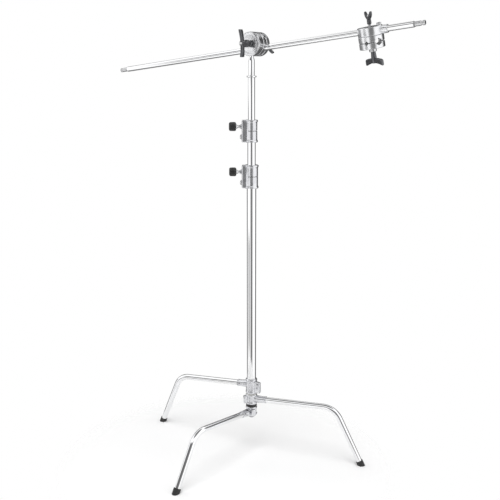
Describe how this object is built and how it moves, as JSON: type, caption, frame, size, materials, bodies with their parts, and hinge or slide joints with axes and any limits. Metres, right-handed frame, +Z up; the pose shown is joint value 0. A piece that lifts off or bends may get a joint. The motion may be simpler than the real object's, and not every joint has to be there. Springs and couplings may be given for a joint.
{
  "type": "c-stand",
  "caption": "Three-leg folding steel stand with two telescoping risers, a grip head on top, a long tilting arm and a second grip head on it.",
  "frame": {"origin": "floor level, under the centre of the whole stand's bounding box; the mast's axis is at x 0.0131 m, y 0.1684 m", "axes": "+Z up along the mast, X along the grip arm as seen from above with the second head on +X, -Y the side of the head's lock handle"},
  "size_m": [1.2794, 0.5804, 1.6478],
  "materials": {
    "chrome_tube": "polished chrome plate",
    "silver_casting": "satin silver paint on cast metal",
    "machined_aluminium": "turned, fine concentric machining marks",
    "gunmetal": "dark satin cast handle",
    "screw_steel": "bright screw steel",
    "black_plastic": "moulded black plastic",
    "foot_rubber": "black rubber",
    "nylon": "natural nylon"
  },
  "bodies": {
    "stand": {"lower_tube": "chrome_tube", "upper_hub": "silver_casting", "leg_1": "chrome_tube", "foot_cap_1": "foot_rubber", "hub_screw_1": "screw_steel", "base_post": "screw_steel", "bottom_washer": "screw_steel", "base_bolt": "screw_steel", "upper_thrust_washer": "nylon", "lower_thrust_washer": "black_plastic", "lower_collar": "silver_casting", "lower_bush": "nylon", "lower_collar_bolt": "screw_steel"},
    "right_leg": {"middle_hub": "silver_casting", "leg_3": "chrome_tube", "foot_cap_3": "foot_rubber", "hub_screw_3": "screw_steel"},
    "front_leg": {"lower_hub": "silver_casting", "leg_2": "chrome_tube", "foot_cap_2": "foot_rubber", "hub_screw_2": "screw_steel"},
    "lower_knob_turning": {"lower_knob": "black_plastic", "lower_knob_screw": "screw_steel"},
    "middle_column": {"middle_riser": "chrome_tube", "middle_riser_guide": "nylon", "upper_collar": "silver_casting", "upper_bush": "nylon", "upper_collar_bolt": "screw_steel"},
    "upper_knob_turning": {"upper_knob": "black_plastic", "upper_knob_screw": "screw_steel"},
    "top_column": {"top_riser": "chrome_tube", "top_riser_guide": "nylon", "spigot": "chrome_tube"},
    "head1": {"head1_base": "machined_aluminium", "head1_bolt": "screw_steel"},
    "head1_lock": {"head1_lock_handle": "gunmetal", "head1_lock_screw": "screw_steel"},
    "head1_jaws": {"head1_inner_jaw": "machined_aluminium", "head1_spring": "screw_steel"},
    "head1_clamp": {"head1_outer_jaw": "machined_aluminium", "head1_clamp_washer": "screw_steel"},
    "head1_handle": {"head1_clamp_handle": "gunmetal"},
    "arm": {"arm_tube": "chrome_tube", "arm_stud_left": "screw_steel", "arm_stud_right": "screw_steel"},
    "head2": {"head2_base": "machined_aluminium", "head2_bolt": "screw_steel", "head2_retaining_screw": "screw_steel"},
    "head2_lock": {"head2_lock_handle": "gunmetal", "head2_lock_screw": "screw_steel"},
    "head2_jaws": {"head2_inner_jaw": "machined_aluminium", "head2_spring": "screw_steel"},
    "head2_clamp": {"head2_outer_jaw": "machined_aluminium", "head2_clamp_washer": "screw_steel"},
    "head2_handle": {"head2_clamp_handle": "gunmetal"}
  },
  "joints": [
    {"name": "right_leg_swing", "type": "hinge", "parent": "stand", "child": "right_leg", "pos_m": [0.0131, 0.1684, 0.205], "axis": [0, 0, 1], "range_deg": [-20, 145]},
    {"name": "front_leg_swing", "type": "hinge", "parent": "stand", "child": "front_leg", "pos_m": [0.0131, 0.1684, 0.156], "axis": [0, 0, 1], "range_deg": [-62, 20]},
    {"name": "lower_knob_turn", "type": "hinge", "parent": "stand", "child": "lower_knob_turning", "pos_m": [0.0131, 0.1684, 1.0982], "axis": [-0.8387, -0.5446, 0], "range_deg": [-30, 360]},
    {"name": "middle_riser_slide", "type": "slide", "parent": "stand", "child": "middle_column", "axis": [0, 0, 1], "range_m": [0, 0.68]},
    {"name": "upper_knob_turn", "type": "hinge", "parent": "middle_column", "child": "upper_knob_turning", "pos_m": [0.0131, 0.1684, 1.2627], "axis": [-0.8387, -0.5446, 0], "range_deg": [-30, 360]},
    {"name": "top_riser_slide", "type": "slide", "parent": "middle_column", "child": "top_column", "axis": [0, 0, 1], "range_m": [0, 0.7]},
    {"name": "head1_swivel", "type": "hinge", "parent": "top_column", "child": "head1", "pos_m": [0.0131, 0.1684, 1.552], "axis": [0, 0, 1], "continuous": true},
    {"name": "head1_lock_turn", "type": "hinge", "parent": "head1", "child": "head1_lock", "pos_m": [0.0131, 0.1684, 1.552], "axis": [0, -1, 0], "range_deg": [0, 720]},
    {"name": "head1_tilt", "type": "hinge", "parent": "head1", "child": "head1_jaws", "pos_m": [0.0131, 0.1684, 1.552], "axis": [0, -1, 0], "range_deg": [-50, 60]},
    {"name": "head1_jaw_open", "type": "slide", "parent": "head1_jaws", "child": "head1_clamp", "axis": [0, 1, 0], "range_m": [0, 0.004]},
    {"name": "head1_handle_turn", "type": "hinge", "parent": "head1_clamp", "child": "head1_handle", "pos_m": [0.0131, 0.1684, 1.552], "axis": [0, 1, 0], "range_deg": [0, 960]},
    {"name": "arm_slide", "type": "slide", "parent": "head1_jaws", "child": "arm", "axis": [0.9938, 0, 0.1115], "range_m": [-0.12, 0.2]},
    {"name": "head2_turn", "type": "hinge", "parent": "arm", "child": "head2", "pos_m": [0.45216, 0.2032, 1.58495], "axis": [0.9938, 0, 0.1115], "continuous": true},
    {"name": "head2_lock_turn", "type": "hinge", "parent": "head2", "child": "head2_lock", "pos_m": [0.45216, 0.2032, 1.58495], "axis": [-0.1098, -0.1736, 0.9787], "range_deg": [0, 720]},
    {"name": "head2_jaw_turn", "type": "hinge", "parent": "head2", "child": "head2_jaws", "pos_m": [0.45216, 0.2032, 1.58495], "axis": [0.1098, 0.1736, -0.9787], "continuous": true},
    {"name": "head2_jaw_open", "type": "slide", "parent": "head2_jaws", "child": "head2_clamp", "axis": [0.1098, 0.1736, -0.9787], "range_m": [0, 0.004]},
    {"name": "head2_handle_turn", "type": "hinge", "parent": "head2_clamp", "child": "head2_handle", "pos_m": [0.45216, 0.2032, 1.58495], "axis": [0.1098, 0.1736, -0.9787], "range_deg": [0, 960]}
  ],
  "couplings": [
    {"joint": "head1_jaw_open", "follows": "head1_handle_turn", "m_per_rad": 0.00023873},
    {"joint": "head2_jaw_open", "follows": "head2_handle_turn", "m_per_rad": 0.00023873}
  ]
}
